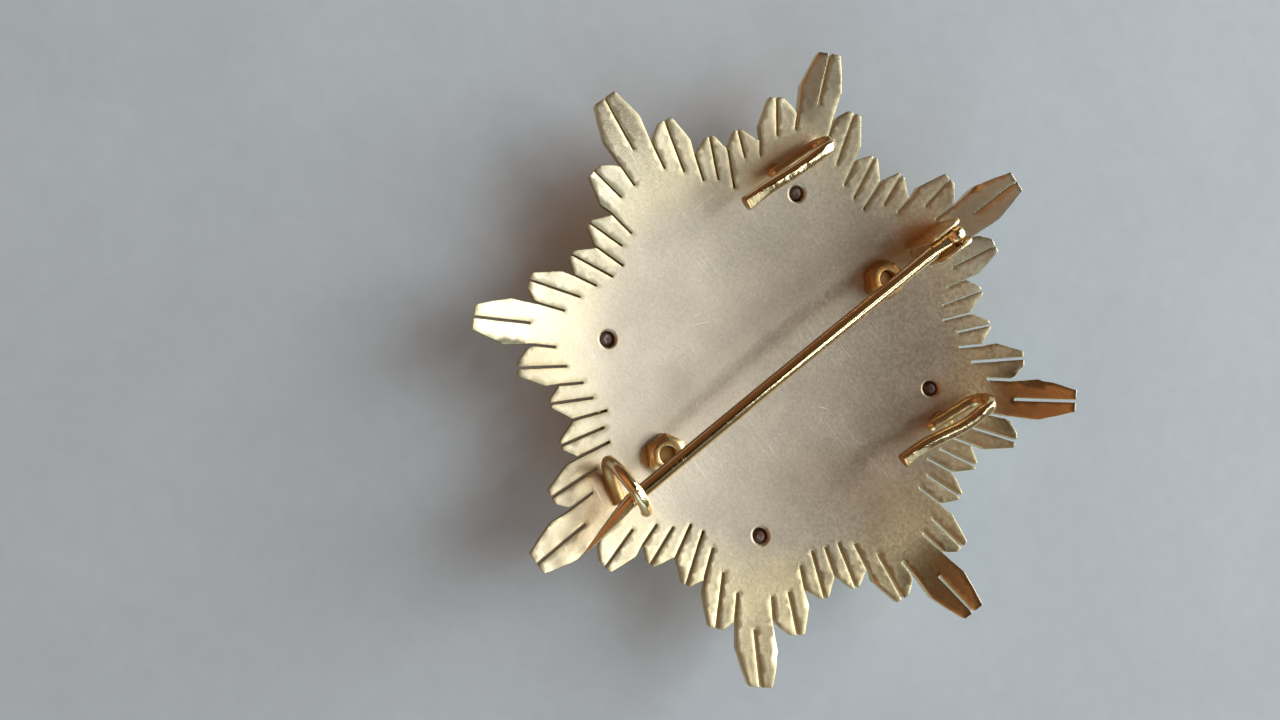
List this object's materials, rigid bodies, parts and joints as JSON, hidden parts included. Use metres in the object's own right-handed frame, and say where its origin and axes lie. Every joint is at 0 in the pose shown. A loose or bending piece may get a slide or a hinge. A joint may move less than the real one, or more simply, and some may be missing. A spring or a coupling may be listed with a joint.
{
  "type": "breast star badge",
  "caption": "Back of a rayed breast star: dished gilt plate, plain domed front disc, brooch needle with hinge and catch, side hooks, hexagon nuts and rivets.",
  "frame": {"origin": "on the surface that the front disc rests on, below the centre of the star", "axes": "+Z out of the star's back, away from the front disc; +Y towards the needle's hinge, which is upwards when the star is worn; +X to the right when looking at the back with the hinge upwards"},
  "size_m": [0.08, 0.08, 0.0156],
  "materials": {
    "gilt_plate": "finely frosted gilt sheet, worn pale, with brighter bevelled edges",
    "gilt_front": "satin gilt",
    "gilt_wire": "polished gilt wire",
    "gilt_nut": "gilt, tarnished brown round the base",
    "dark_rivet": "dark brown tarnish"
  },
  "bodies": {
    "star": {"star_plate": "gilt_plate", "front_boss": "gilt_front", "nut_top": "gilt_nut", "nut_bottom": "gilt_nut", "rivet_a": "dark_rivet", "rivet_b": "dark_rivet", "rivet_c": "dark_rivet", "rivet_d": "dark_rivet", "hinge_pin": "gilt_wire"},
    "needle": {"needle": "gilt_wire"}
  },
  "joints": [
    {"name": "needle_swing", "type": "hinge", "parent": "star", "child": "needle", "pos_m": [0, 0.0276, 0.01265], "axis": [-1, 0, 0], "range_deg": [0, 100]}
  ]
}
